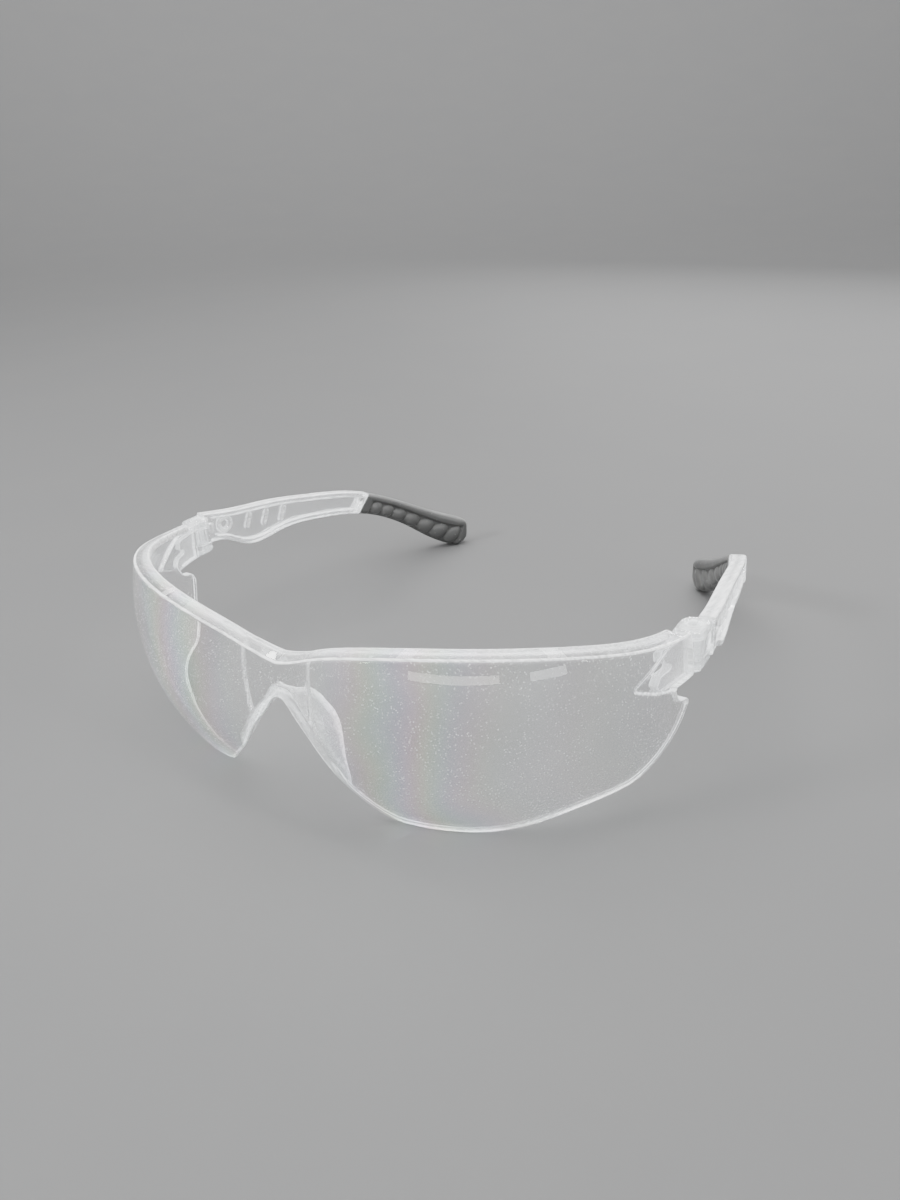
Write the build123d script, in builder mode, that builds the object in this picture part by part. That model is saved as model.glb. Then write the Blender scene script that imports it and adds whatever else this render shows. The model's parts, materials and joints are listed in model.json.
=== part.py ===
from build123d import *

import os
from math import cos, radians, sin

# Clear wrap-around safety glasses, in millimetres.
# +X is the wearer's left, the lens faces -Y, the temples run back along +Y and +Z is up.
# z = 0 is the table the glasses rest on, x = 0 the plane of symmetry.

# --- lens: two shallow ball-shaped lobes blended at the bridge ---
LOBE_X, LOBE_Y, LOBE_Z = 20.0, 53.0, 27.6
LENS_R = 53.0
LENS_T = 2.1
BRIDGE_BLEND = 26.0
LEDGE_DEPTH = 4.4
LEDGE_T = 1.7
LEDGE_BACK = 45.6
PAD_T = 3.0
LENS_BACK = 46.4
REST_FROM, REST_TO = 25.5, 37.0

# --- nose opening and flanges ---
FLANGE_REACH = 10.8
FLANGE_SPLAY = 8.0

# --- hinges ---
HINGE_X, HINGE_Y = 70.7, 50.7
KNUCKLE_R = 2.9
BLOCK_BOTTOM, BLOCK_TOP = 28.4, 37.8
TONGUE_BOTTOM, TONGUE_TOP = 31.2, 35.4
TONGUE_GAP = 0.15
BLOCK_FRONT = LENS_BACK + 0.02
FORK_BACK = LENS_BACK + 0.9
BLOCK_CHAMFER = 1.3
STOP_GAP = 0.12
PIN_R = 1.2
PIN_PRESS = 0.01
PIN_RUN = 0.05
PIN_HEAD_R = 1.8
PIN_HEAD_T = 0.8
FINGER_T = 1.5

# --- temples ---
ARM_T = 3.4
WEB_T = 1.5
TIP_T = 4.6
COLLAR_T = 4.4
CORE_T = 1.8
RAIL = 1.6
ARM_ROUND = 0.4
MARK_T = 2.3
PANEL_FRONT = 57.0
BEAD_AT = (55.2, 34.6)
BOSS_AT, BOSS_R = (60.6, 33.0), 2.4
BARS_AT = [(69.0, 31.2), (75.2, 30.3), (81.6, 29.4)]
BAR_LENGTH, BAR_LEAN = 4.6, 25
COLLAR_W = 2.3
CORE_INSET = 2.2
CORE_FROM, CORE_TO = 110.0, 130.0
PLAN_STEPS = 14
SCALLOPS = 7
SCALLOP_FROM, SCALLOP_STEP = 0.70, 0.04
SCALLOP_Z, SCALLOP_DROP = 18.5, 2.2
GROOVE_R, GROOVE_LIFT = 1.0, 0.45
GROOVE_LENGTH, GROOVE_LEAN = 7.0, 25


# --- front and side outlines ---
FRONT = Plane(origin=(0, 0, 0), x_dir=(-1, 0, 0), z_dir=(0, 1, 0))

TOP_EDGE = [(0, 35.0), (9.6, 38.4), (20, 41.6), (34, 43.6), (48, 43.7), (61, 41.8), (73, 37.1)]
NOSE_EDGE = [(0, 26.6), (3.7, 23.1), (7.5, 18.5), (12.4, 11.3), (18.2, 4.9), (REST_FROM, 0)]
NOSE_WALL = [(0, 28.5), (5.1, 24.3), (9.0, 19.6), (13.8, 12.5), (19.3, 6.5), (REST_FROM, 1.9)]
OUTER_EDGE = [(REST_TO, 0), (51.3, 2.6), (60.2, 5.8), (66.0, 6.5)]
BACK_EDGE = [(29.3, -6.4), (37.0, 6.7), (41.6, 12.7), (45.5, 21.6)]
NOTCH = [(45.2, 23.6), (41.3, 24.5), (39.7, 28.4), (LENS_BACK, 28.4)]
PAD_OUTLINE = [(48, 26.0), (44, 26.2), (34.8, 29.0), (29.3, 31.5), (37.5, 36.1), (48, 41)]
FORK_OUTLINE = [
    (FORK_BACK, 28.6),
    (37.6, 28.3),
    (36.6, 29.8),
    (37.8, 31.6),
    (43.8, 32.5),
    (38.8, 33.7),
    (39.2, 36.3),
    (FORK_BACK, 36.6),
]


with BuildSketch(FRONT) as front_outline:
    with BuildLine():
        Spline(*TOP_EDGE, tangents=[(1, 0.1), (1, -0.5)])
        Spline(*NOSE_EDGE, tangents=[(1, 0), (1, -0.1)])
        Line(NOSE_EDGE[-1], OUTER_EDGE[0])
        Spline(*OUTER_EDGE, tangents=[(1, 0), (1, 0.12)])
        Polyline(OUTER_EDGE[-1], (78, 8), (78, 36), TOP_EDGE[-1])
        Line(NOSE_EDGE[0], TOP_EDGE[0])
    make_face()
    mirror(about=Plane.YZ)


def lobed_ball(radius, blend):
    """Two overlapping balls, the seam between them rounded off."""
    with BuildPart() as ball:
        with Locations((LOBE_X, LOBE_Y, LOBE_Z), (-LOBE_X, LOBE_Y, LOBE_Z)):
            Sphere(radius)
        with Locations((0, LOBE_Y - 100, LOBE_Z)):
            Box(400, 200, 400, mode=Mode.INTERSECT)
        seam = ball.edges().filter_by(lambda e: abs(e.center().X) < 0.01 and e.center().Y < LOBE_Y - 5)
        fillet(seam, blend)
    return ball.part


front_ball = lobed_ball(LENS_R, BRIDGE_BLEND)
back_ball = lobed_ball(LENS_R - LENS_T, BRIDGE_BLEND + LENS_T)
ledge_ball = lobed_ball(LENS_R - LEDGE_DEPTH, BRIDGE_BLEND + LEDGE_DEPTH)
pad_ball = lobed_ball(LENS_R - PAD_T, BRIDGE_BLEND + PAD_T)

# Side view, local x = +Y and local y = +Z.
with BuildSketch(Plane.YZ) as side_outline:
    with BuildLine():
        Spline(*BACK_EDGE, tangents=[(0.3, 1), (0.25, 1)])
        Polyline(BACK_EDGE[-1], *NOTCH, (LENS_BACK, 60), (-10, 60), (-10, -6.4), BACK_EDGE[0])
    make_face()
    notch = side_outline.vertices().filter_by(lambda v: 39 < v.X < 43 and 23 < v.Y < 30)
    fillet(notch, 0.9)

with BuildPart() as shell:
    add(front_ball)
    add(back_ball, mode=Mode.SUBTRACT)
    extrude(front_outline.sketch, amount=60, mode=Mode.INTERSECT)
    extrude(side_outline.sketch, amount=90, both=True, mode=Mode.INTERSECT)

# Brow ledge: the same outline, kept only along the top edge and made deeper.
with BuildSketch(FRONT) as brow_band:
    add(front_outline.sketch_local)
    with Locations((0, -LEDGE_T)):
        add(front_outline.sketch_local, mode=Mode.SUBTRACT)
    with Locations((0, 50)):
        Rectangle(150, 40, mode=Mode.INTERSECT)
with BuildPart() as brow:
    add(front_ball)
    add(ledge_ball, mode=Mode.SUBTRACT)
    extrude(brow_band.sketch, amount=LEDGE_BACK, mode=Mode.INTERSECT)

# Corner pads: thicker lens where the hinge brackets clip on.
with BuildSketch(Plane.YZ) as pad_outline:
    with BuildLine():
        Polyline(*PAD_OUTLINE, close=True)
    make_face()
    fillet(pad_outline.vertices().filter_by(lambda v: v.X < 35.5), 1.0)
with BuildPart() as pads:
    add(front_ball)
    add(pad_ball, mode=Mode.SUBTRACT)
    extrude(front_outline.sketch, amount=60, mode=Mode.INTERSECT)
    extrude(side_outline.sketch, amount=90, both=True, mode=Mode.INTERSECT)
    extrude(pad_outline.sketch, amount=90, both=True, mode=Mode.INTERSECT)

# Nose flanges: a wall along the side of the nose opening, splayed outward, cut to a leaf shape.
NOSE_SIDE = Plane(origin=(0, 0, 0), x_dir=(1, 0, 0), z_dir=(0, -1, 0))
SPLAY_WAY = (sin(radians(FLANGE_SPLAY)), cos(radians(FLANGE_SPLAY)), 0)
with BuildSketch(NOSE_SIDE) as nose_opening:
    with BuildLine():
        Spline(*NOSE_EDGE, tangents=[(1, 0), (1, -0.1)])
        Polyline(NOSE_EDGE[-1], (REST_FROM, -20), (-40, -20), (-40, NOSE_EDGE[0][1]), NOSE_EDGE[0])
    make_face()
with BuildSketch(NOSE_SIDE) as nose_wall:
    with BuildLine():
        Spline(*NOSE_WALL, tangents=[(1, 0), (1, -0.1)])
        Polyline(NOSE_WALL[-1], (REST_FROM, -20), (-40, -20), (-40, NOSE_WALL[0][1]), NOSE_WALL[0])
    make_face()
with BuildSketch(Plane.YZ) as leaf:
    with BuildLine():
        Spline((1, 30), (7.4, 27.4), (FLANGE_REACH - 0.1, 22), (FLANGE_REACH - 2.3, 14), (6.4, 8), (3.5, 2.5))
        Polyline((3.5, 2.5), (-3, 2.5), (-3, 30), (1, 30))
    make_face()
with BuildPart() as nose_flange:
    extrude(nose_wall.sketch, amount=20, dir=SPLAY_WAY)
    extrude(nose_opening.sketch, amount=24, dir=SPLAY_WAY, mode=Mode.SUBTRACT)
    extrude(leaf.sketch, amount=60, mode=Mode.INTERSECT)
    add(front_ball, mode=Mode.INTERSECT)

with BuildPart() as lens:
    add(shell.part)
    add(brow.part)
    add(pads.part)
    add(nose_flange.part)
    mirror(nose_flange.part, about=Plane.YZ)

# --- hinge bracket: a fork that clips inside the lens corner and two ears around the temple's knuckle ---
EAR_Y = HINGE_Y + KNUCKLE_R
TONGUE_MID = (TONGUE_BOTTOM + TONGUE_TOP) / 2
TONGUE_SLOT = TONGUE_TOP - TONGUE_BOTTOM + 2 * TONGUE_GAP

with BuildSketch(Plane.YZ) as fork_outline:
    with BuildLine():
        Polyline(*FORK_OUTLINE, close=True)
    make_face()
    fillet(fork_outline.vertices().filter_by(lambda v: v.X < 45), 0.7)
with BuildPart() as fork:
    add(pad_ball)
    add(lobed_ball(LENS_R - PAD_T - FINGER_T, BRIDGE_BLEND + PAD_T + FINGER_T), mode=Mode.SUBTRACT)
    extrude(fork_outline.sketch, amount=90, mode=Mode.INTERSECT)

with BuildPart() as hinge_bracket_left:
    with BuildSketch(Plane.XY.offset(BLOCK_BOTTOM)):
        with Locations((HINGE_X, HINGE_Y)):
            Circle(KNUCKLE_R)
            Rectangle(2 * KNUCKLE_R, HINGE_Y - BLOCK_FRONT, align=(Align.CENTER, Align.MAX))
            Rectangle(KNUCKLE_R, KNUCKLE_R, align=(Align.MIN, Align.MIN))
    extrude(amount=BLOCK_TOP - BLOCK_BOTTOM)
    front_outer = hinge_bracket_left.edges().filter_by(Axis.Z).sort_by(lambda e: e.center().Y - e.center().X)[0]
    chamfer(front_outer, BLOCK_CHAMFER)
    fillet(hinge_bracket_left.faces().sort_by(Axis.Z)[-1].edges(), 0.6)
    fillet(hinge_bracket_left.faces().sort_by(Axis.Z)[0].edges(), 0.6)
    with Locations((HINGE_X, HINGE_Y, TONGUE_MID)):
        Cylinder(KNUCKLE_R + 0.3, TONGUE_SLOT, mode=Mode.SUBTRACT)
    with Locations((HINGE_X, HINGE_Y - KNUCKLE_R + 0.6, TONGUE_MID)):
        Box(10, 10, TONGUE_SLOT, align=(Align.MAX, Align.MIN, Align.CENTER), mode=Mode.SUBTRACT)
    with Locations((HINGE_X, HINGE_Y, TONGUE_MID)):
        Box(10, 10, TONGUE_SLOT, align=(Align.MIN, Align.MIN, Align.CENTER), mode=Mode.SUBTRACT)
    add(fork.part)
    with Locations((HINGE_X, HINGE_Y, BLOCK_TOP)):
        CounterBoreHole(PIN_R - PIN_PRESS, PIN_HEAD_R + PIN_RUN, PIN_HEAD_T)

with BuildPart() as hinge_pin_left:
    with BuildSketch(Plane.XY.offset(BLOCK_BOTTOM)):
        with Locations((HINGE_X, HINGE_Y)):
            Circle(PIN_R)
    extrude(amount=BLOCK_TOP - BLOCK_BOTTOM)
    with BuildSketch(Plane.XY.offset(BLOCK_TOP - PIN_HEAD_T)):
        with Locations((HINGE_X, HINGE_Y)):
            Circle(PIN_HEAD_R)
    extrude(amount=PIN_HEAD_T)
    chamfer(hinge_pin_left.edges().sort_by(Axis.Z)[0], 0.25)
    fillet(hinge_pin_left.edges().sort_by(Axis.Z)[-1], 0.3)

# --- temple: curved in plan, shaped in side view ---
ARM_FRONT = EAR_Y + STOP_GAP
PLAN = [
    (72.8, 50), (71.2, 63), (69.1, 78), (66.8, 93),
    (63.9, 108), (58.7, 122.6), (50.9, 135.7), (42.1, 145.3),
]
UPPER = [
    (ARM_FRONT, 38.2), (63.1, 36.4), (78.2, 34.5), (93.3, 31.6),
    (114.5, 26.0), (128.5, 18.8), (140.3, 11.6),
]
LOWER = [
    (ARM_FRONT, 29.4), (60, 28.3), (67.3, 24.5), (80, 24.7),
    (95, 23.4), (113.8, 18.9), (127.9, 10.8), (139.1, 1.6),
]
TIP_END = (146.2, 6.4)
JOINT_TOP, JOINT_BOTTOM = (127.5, 40), (100.3, 8)

with BuildLine(Plane.XY) as plan:
    Spline(*PLAN)
plan_edge = plan.edges()[0]


def beside(along, offset):
    """The place a given distance outward of the plan curve."""
    way = plan_edge % along
    return plan_edge @ along + Vector(way.Y, -way.X, 0) * offset


def curved_wall(thickness):
    """A wall of the given thickness that follows the temple's plan."""
    steps = [i / PLAN_STEPS for i in range(PLAN_STEPS + 1)]
    with BuildPart() as wall:
        with BuildSketch(Plane.XY.offset(-5)):
            with BuildLine():
                Spline(*[beside(t, thickness / 2) for t in steps])
                Spline(*[beside(t, -thickness / 2) for t in steps])
                Line(beside(0, thickness / 2), beside(0, -thickness / 2))
                Line(beside(1, thickness / 2), beside(1, -thickness / 2))
            make_face()
        extrude(amount=60)
    return wall.part


def raised(points, height):
    return [(y, z + height) for y, z in points]


with BuildSketch(Plane.YZ) as temple_side:
    with BuildLine():
        Spline(*UPPER, tangents=[(1, -0.2), (1, -0.55)])
        Spline(*LOWER, tangents=[(1, 0), (1, -0.6)])
        Spline(UPPER[-1], TIP_END, (142.6, 0.2), LOWER[-1], tangents=[(1, -0.55), (-1, 0.6)])
        Line(UPPER[0], LOWER[0])
    make_face()
with BuildSketch(Plane.YZ) as front_of_joint:
    with BuildLine():
        Polyline((0, 50), (JOINT_TOP[0], 50), JOINT_TOP, JOINT_BOTTOM, (JOINT_BOTTOM[0], -10), (0, -10), (0, 50))
    make_face()


def inset_side(inset, start, end):
    """The side view drawn in from its upper and lower edges, between two depths."""
    with BuildSketch(Plane.YZ) as side:
        with BuildLine():
            top = Spline(*raised(UPPER, -inset), tangents=[(1, -0.2), (1, -0.55)])
            bottom = Spline(*raised(LOWER, inset), tangents=[(1, 0), (1, -0.6)])
            Line(top @ 0, bottom @ 0)
            Line(top @ 1, bottom @ 1)
        make_face()
        with Locations((start, 0)):
            Rectangle(end - start, 60, align=(Align.MIN, Align.MIN), mode=Mode.INTERSECT)
    return side


# Recessed panel on both faces of the arm, leaving a rail along each edge.
with BuildSketch(Plane.YZ) as panel:
    add(inset_side(RAIL, PANEL_FRONT, 125).sketch_local)
    with Locations((-COLLAR_W - 0.4, 0)):
        add(front_of_joint.sketch_local, mode=Mode.INTERSECT)
    fillet(panel.vertices().filter_by(lambda v: v.X < PANEL_FRONT + 0.1), 1.0)
with BuildPart() as recess:
    add(curved_wall(ARM_T + 2))
    add(curved_wall(WEB_T), mode=Mode.SUBTRACT)
    extrude(panel.sketch, amount=90, mode=Mode.INTERSECT)

# Raised marks on the panel: a bead, a ring-shaped boss and three slanted bars.
with BuildSketch(Plane.YZ) as marks:
    with Locations(BEAD_AT):
        Circle(0.9)
    with Locations(BOSS_AT):
        Circle(BOSS_R)
        Circle(BOSS_R - 0.9, mode=Mode.SUBTRACT)
    for y, z in BARS_AT:
        with Locations(Location((y, z), -BAR_LEAN)):
            SlotOverall(BAR_LENGTH, 1.1, rotation=90)
with BuildPart() as raised_marks:
    add(curved_wall(MARK_T))
    extrude(marks.sketch, amount=90, mode=Mode.INTERSECT)

# Collar round the end of the clear arm, along the joint with the tip.
with BuildSketch(Plane.YZ) as collar_band:
    add(front_of_joint.sketch_local)
    with Locations((-COLLAR_W, 0)):
        add(front_of_joint.sketch_local, mode=Mode.SUBTRACT)
    add(temple_side.sketch_local, mode=Mode.INTERSECT)
with BuildPart() as collar:
    add(curved_wall(COLLAR_T))
    extrude(collar_band.sketch, amount=90, mode=Mode.INTERSECT)

# Core: the clear tongue that the soft tip is moulded over.
with BuildPart() as core:
    add(curved_wall(CORE_T))
    extrude(inset_side(CORE_INSET, CORE_FROM, CORE_TO).sketch, amount=90, mode=Mode.INTERSECT)

with BuildPart() as temple_left:
    add(curved_wall(ARM_T))
    extrude(temple_side.sketch, amount=90, mode=Mode.INTERSECT)
    extrude(front_of_joint.sketch, amount=90, mode=Mode.INTERSECT)
    fillet(temple_left.edges().filter_by(lambda e: e.length > 40), ARM_ROUND)
    add(recess.part, mode=Mode.SUBTRACT)
    add(raised_marks.part)
    add(collar.part)
    add(core.part)
    with BuildSketch(Plane.XY.offset(TONGUE_BOTTOM)):
        with Locations((HINGE_X, HINGE_Y)):
            Circle(KNUCKLE_R)
            Rectangle(KNUCKLE_R - 0.8, ARM_FRONT - HINGE_Y + 1, align=(Align.MIN, Align.MIN))
            Rectangle(1.3, ARM_FRONT - HINGE_Y + 1, align=(Align.MAX, Align.MIN))
    extrude(amount=TONGUE_TOP - TONGUE_BOTTOM)
    with Locations((HINGE_X, HINGE_Y, TONGUE_MID)):
        Cylinder(PIN_R + PIN_RUN, BLOCK_TOP - BLOCK_BOTTOM, mode=Mode.SUBTRACT)

# --- soft tip, with a row of pillows on the lower half of its inner face ---
with BuildPart() as grooves:
    for i in range(SCALLOPS):
        along = SCALLOP_FROM + i * SCALLOP_STEP
        spot, way = plan_edge @ along, plan_edge % along
        inward = Vector(-way.Y, way.X, 0)
        face = spot + inward * (TIP_T / 2 + GROOVE_LIFT)
        middle = SCALLOP_Z - i * SCALLOP_DROP
        with Locations(Plane(origin=(face.X, face.Y, middle), x_dir=way, z_dir=(0, 0, 1))):
            Cylinder(GROOVE_R, GROOVE_LENGTH, rotation=(0, GROOVE_LEAN, 0))
with BuildPart() as temple_tip_left:
    add(curved_wall(TIP_T))
    extrude(temple_side.sketch, amount=90, mode=Mode.INTERSECT)
    extrude(front_of_joint.sketch, amount=90, mode=Mode.SUBTRACT)
    add(core.part, mode=Mode.SUBTRACT)
    add(grooves.part, mode=Mode.SUBTRACT)


def mirrored_part(left):
    """The other side's piece."""
    with BuildPart() as right:
        mirror(left.part, about=Plane.YZ)
    return right


pieces = {"lens": lens}
sided = {
    "hinge_bracket": hinge_bracket_left,
    "hinge_pin": hinge_pin_left,
    "temple": temple_left,
    "temple_tip": temple_tip_left,
}
for name, left in sided.items():
    pieces[name + "_left"] = left
    pieces[name + "_right"] = mirrored_part(left)

os.makedirs("parts", exist_ok=True)
for name, piece in pieces.items():
    piece.part.label = name
    export_step(piece.part, f"parts/{name}.step")
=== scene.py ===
import json
from math import atan2, cos, pi, radians, sin, sqrt

import bpy
import bmesh
import numpy as np
from mathutils import Matrix, Vector


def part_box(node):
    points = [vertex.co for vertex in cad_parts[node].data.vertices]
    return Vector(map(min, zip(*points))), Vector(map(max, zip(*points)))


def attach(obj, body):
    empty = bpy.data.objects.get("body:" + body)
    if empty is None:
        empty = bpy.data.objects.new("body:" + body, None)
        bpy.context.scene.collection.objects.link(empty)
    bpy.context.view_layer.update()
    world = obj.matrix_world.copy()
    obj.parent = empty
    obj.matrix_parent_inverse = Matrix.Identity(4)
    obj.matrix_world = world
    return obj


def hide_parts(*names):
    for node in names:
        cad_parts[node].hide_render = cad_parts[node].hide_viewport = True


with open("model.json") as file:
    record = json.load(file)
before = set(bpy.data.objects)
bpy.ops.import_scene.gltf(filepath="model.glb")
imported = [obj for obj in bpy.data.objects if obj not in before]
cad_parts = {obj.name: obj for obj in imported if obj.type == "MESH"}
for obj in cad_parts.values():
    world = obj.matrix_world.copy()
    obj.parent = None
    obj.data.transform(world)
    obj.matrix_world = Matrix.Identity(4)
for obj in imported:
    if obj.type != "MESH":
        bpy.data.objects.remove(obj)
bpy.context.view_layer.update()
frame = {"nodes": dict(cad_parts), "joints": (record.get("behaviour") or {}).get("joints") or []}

# Lengths are in millimetres until a mesh is written; the frame itself is in metres.
MM = 0.001
FRONT, SIDES = "front", {"left": 1.0, "right": -1.0}

# --- lens ---
LOBE = np.array([20.0, 53.0, 27.6])
LENS_R, LENS_T = 53.0, 2.1
BRIDGE_BLEND = 26.0
LENS_BACK = 1000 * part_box("lens")[1].y
REST_FROM, REST_TO = 25.5, 37.0
TOP_EDGE = [(0, 35.0), (9.6, 38.4), (20, 41.6), (34, 43.6), (48, 43.7), (61, 41.8), (73, 37.1)]
NOSE_EDGE = [(0, 26.6), (3.7, 23.1), (7.5, 18.5), (12.4, 11.3), (18.2, 4.9), (REST_FROM, 0)]
OUTER_EDGE = [(REST_TO, 0), (51.3, 2.6), (60.2, 5.8), (66.0, 6.5)]
BACK_EDGE = [(29.3, -6.4), (37.0, 6.7), (41.6, 12.7), (45.5, 21.6)]
NOTCH = [
    (48.0, 20.5), (45.8, 21.4), (45.4, 23.0), (44.7, 23.7), (42.2, 24.3),
    (41.1, 25.2), (39.9, 27.6), (40.3, 28.4), (48.0, 28.4),
]
LEDGE_DEPTH, LEDGE_T, LEDGE_RISE = 3.9, 1.7, 1.5
LEDGE_END = (42.5, 45.6)
EDGE_ROUND = 0.35
BRIDGE_T, BRIDGE_HALF = 3.3, 8.4
PAD_T = 0.85
PAD = [(48, 26.0), (44, 26.2), (34.8, 29.0), (29.8, 31.3), (30.2, 32.1), (37.5, 36.1), (48, 41)]
FLANGE_T = 1.5
FLANGE_REACH = [
    (1.5, 3.6), (4.5, 4.0), (6.5, 5.2), (8.5, 6.3), (11.0, 7.2), (13.5, 8.4), (16.0, 9.5),
    (18.0, 10.1), (20.0, 10.5), (22.4, 10.7), (24.0, 10.2), (25.2, 9.3), (26.6, 8.0), (30.0, 6.4),
]

# --- temples ---
PLAN = [(72.8, 50), (71.2, 63), (69.1, 78), (66.8, 93), (63.9, 108), (58.7, 122.6), (50.9, 135.7), (42.1, 145.3)]
ARM_FRONT = 53.72
UPPER = [(ARM_FRONT, 38.2), (63.1, 36.4), (78.2, 34.5), (93.3, 31.6), (114.5, 26.0), (128.5, 18.8), (140.3, 11.6)]
LOWER = [(ARM_FRONT, 29.4), (60, 28.3), (67.3, 24.5), (80, 24.7), (95, 23.4), (113.8, 18.9), (127.9, 10.8), (139.1, 1.6)]
TIP_END, TIP_HEEL = (146.2, 6.4), (142.6, 0.2)
JOINT_FOOT, JOINT_LEAN = (100.3, 8.0), 0.85
ARM_T, WEB_T, TIP_T, COLLAR_T, COLLAR_W = 3.4, 1.5, 4.6, 4.4, 2.3
RAIL, PANEL_FRONT = 1.6, 57.0


# ---------------------------------------------------------------- curves
def smooth(x):
    """0 below 0, 1 above 1, an S between."""
    t = np.clip(x, 0.0, 1.0)
    return t * t * (3 - 2 * t)


def clamped_spline(points, start, end, count=400):
    """A cubic curve through points with given end tangents, as a dense row of points."""
    p = np.array(points, float)
    gap = np.linalg.norm(np.diff(p, axis=0), axis=1)
    t = np.concatenate([[0], np.cumsum(gap)])
    n = len(p)
    a, rhs = np.eye(n), np.zeros((n, 2))
    rhs[0] = np.array(start) / np.linalg.norm(start)
    rhs[-1] = np.array(end) / np.linalg.norm(end)
    for i in range(1, n - 1):
        a[i, i - 1], a[i, i], a[i, i + 1] = gap[i], 2 * (gap[i - 1] + gap[i]), gap[i - 1]
        slope_in, slope_out = (p[i] - p[i - 1]) / gap[i - 1], (p[i + 1] - p[i]) / gap[i]
        rhs[i] = 3 * (gap[i] * slope_in + gap[i - 1] * slope_out)
    m = np.linalg.solve(a, rhs)
    u = np.linspace(0, t[-1], count)
    k = np.clip(np.searchsorted(t, u, side="right") - 1, 0, n - 2)
    g = gap[k][:, None]
    s = ((u - t[k]) / gap[k])[:, None]
    h00, h10 = 2 * s**3 - 3 * s**2 + 1, s**3 - 2 * s**2 + s
    h01, h11 = -2 * s**3 + 3 * s**2, s**3 - s**2
    return h00 * p[k] + h10 * g * m[k] + h01 * p[k + 1] + h11 * g * m[k + 1]


def curve_height(curve):
    """The curve as a function of its first coordinate."""
    order = np.argsort(curve[:, 0])
    return lambda x: np.interp(x, curve[order, 0], curve[order, 1])


def inside_amount(y, z, polygon, soft):
    """1 well inside a convex-ish polygon, 0 outside, with a soft step at its edge."""
    pts = np.array(polygon, float)
    centre = pts.mean(axis=0)
    depth = np.full(np.shape(y), 1e9)
    for a, b in zip(pts, np.roll(pts, -1, axis=0)):
        way = (b - a) / np.linalg.norm(b - a)
        side = np.array([-way[1], way[0]])
        if side @ (centre - a) < 0:
            side = -side
        depth = np.minimum(depth, (y - a[0]) * side[0] + (z - a[1]) * side[1])
    return smooth(depth / soft + 0.5)


# ---------------------------------------------------------------- meshes
def write_mesh(name, verts, faces, material, sharp=35.0, weld=0.0, painted_glow=None):
    """A mesh object from millimetre points; coincident points are merged."""
    me = bpy.data.meshes.new(name)
    me.from_pydata((np.asarray(verts) * MM).tolist(), [], faces)
    # painted_glow: per-point amount of painted highlight, white milkiness standing for light caught in the plastic's
    # edges
    if painted_glow is not None:
        me.attributes.new("painted_glow", "FLOAT", "POINT").data.foreach_set("value", np.asarray(painted_glow, float))
    bm = bmesh.new()
    bm.from_mesh(me)
    bmesh.ops.remove_doubles(bm, verts=bm.verts, dist=max(weld, 1e-4) * MM)
    bmesh.ops.recalc_face_normals(bm, faces=bm.faces)
    bm.to_mesh(me)
    bm.free()
    me.shade_smooth()
    me.set_sharp_from_angle(angle=radians(sharp))
    obj = bpy.data.objects.new(name, me)
    bpy.context.scene.collection.objects.link(obj)
    me.materials.append(material)
    return obj


def ring_faces(rings, points, flip=False):
    """Quads between neighbouring closed rings laid out one after another."""
    faces = []
    for i in range(rings - 1):
        for j in range(points):
            k = (j + 1) % points
            quad = (i * points + j, i * points + k, (i + 1) * points + k, (i + 1) * points + j)
            faces.append(quad[::-1] if flip else quad)
    return faces


def apply_boolean(obj, cutter, operation):
    """obj with cutter joined or taken away, worked out once, and the cutter removed."""
    mod = obj.modifiers.new("cut", "BOOLEAN")
    mod.object, mod.operation, mod.solver = cutter, operation, "EXACT"
    bpy.context.view_layer.update()
    done = bpy.data.meshes.new_from_object(obj.evaluated_get(bpy.context.evaluated_depsgraph_get()))
    obj.modifiers.clear()
    obj.data = done
    bpy.data.objects.remove(cutter)
    done.shade_smooth()
    done.set_sharp_from_angle(angle=radians(35))


def set_painted_glow(obj, amount_at):
    """Store how much painted highlight the plastic gets at each vertex, as white milkiness standing for light caught
    in its edges, 0 clear to 1 fully painted.
    """
    me = obj.data
    co = np.empty(3 * len(me.vertices))
    me.vertices.foreach_get("co", co)
    me.attributes.new("painted_glow", "FLOAT", "POINT").data.foreach_set("value", amount_at(co.reshape(-1, 3) / MM))


# ---------------------------------------------------------------- lens surface
z_top_of = curve_height(clamped_spline(TOP_EDGE, (1, 0.1), (1, -0.5)))
z_nose_of = curve_height(clamped_spline(NOSE_EDGE, (1, 0), (1, -0.1)))
z_outer_of = curve_height(clamped_spline(OUTER_EDGE, (1, 0), (1, 0.12)))
z_back_of = curve_height(clamped_spline(BACK_EDGE, (0.3, 1), (0.25, 1)))
reach_of = curve_height(np.array(FLANGE_REACH))


def lens_point(w, z):
    """Outer surface and its outward normal at share w of the way from the bridge to the hinge, height z."""
    w, z = np.broadcast_arrays(np.asarray(w, float), np.asarray(z, float))
    r = np.sqrt(LENS_R**2 - (z - LOBE[2]) ** 2)
    seam = np.arcsin(LOBE[0] / (r + BRIDGE_BLEND))
    last = np.arccos((LOBE[1] - LENS_BACK) / r)
    run = w * (BRIDGE_BLEND * seam + r * (last + seam))
    in_blend = run < BRIDGE_BLEND * seam
    phi = np.where(in_blend, run / BRIDGE_BLEND, 0)
    theta = np.where(in_blend, 0, -seam + (run - BRIDGE_BLEND * seam) / r)
    blend_y = LOBE[1] - (r + BRIDGE_BLEND) * np.cos(seam)
    x = np.where(in_blend, BRIDGE_BLEND * np.sin(phi), LOBE[0] + r * np.sin(theta))
    y = np.where(in_blend, blend_y + BRIDGE_BLEND * np.cos(phi), LOBE[1] - r * np.cos(theta))
    rise = (z - LOBE[2]) / LENS_R
    level = np.sqrt(1 - rise**2)
    nx = np.where(in_blend, -np.sin(phi), np.sin(theta)) * level
    ny = np.where(in_blend, -np.cos(phi), -np.cos(theta)) * level
    return np.stack([x, y, z], -1), np.stack([nx, ny, rise], -1)


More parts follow.
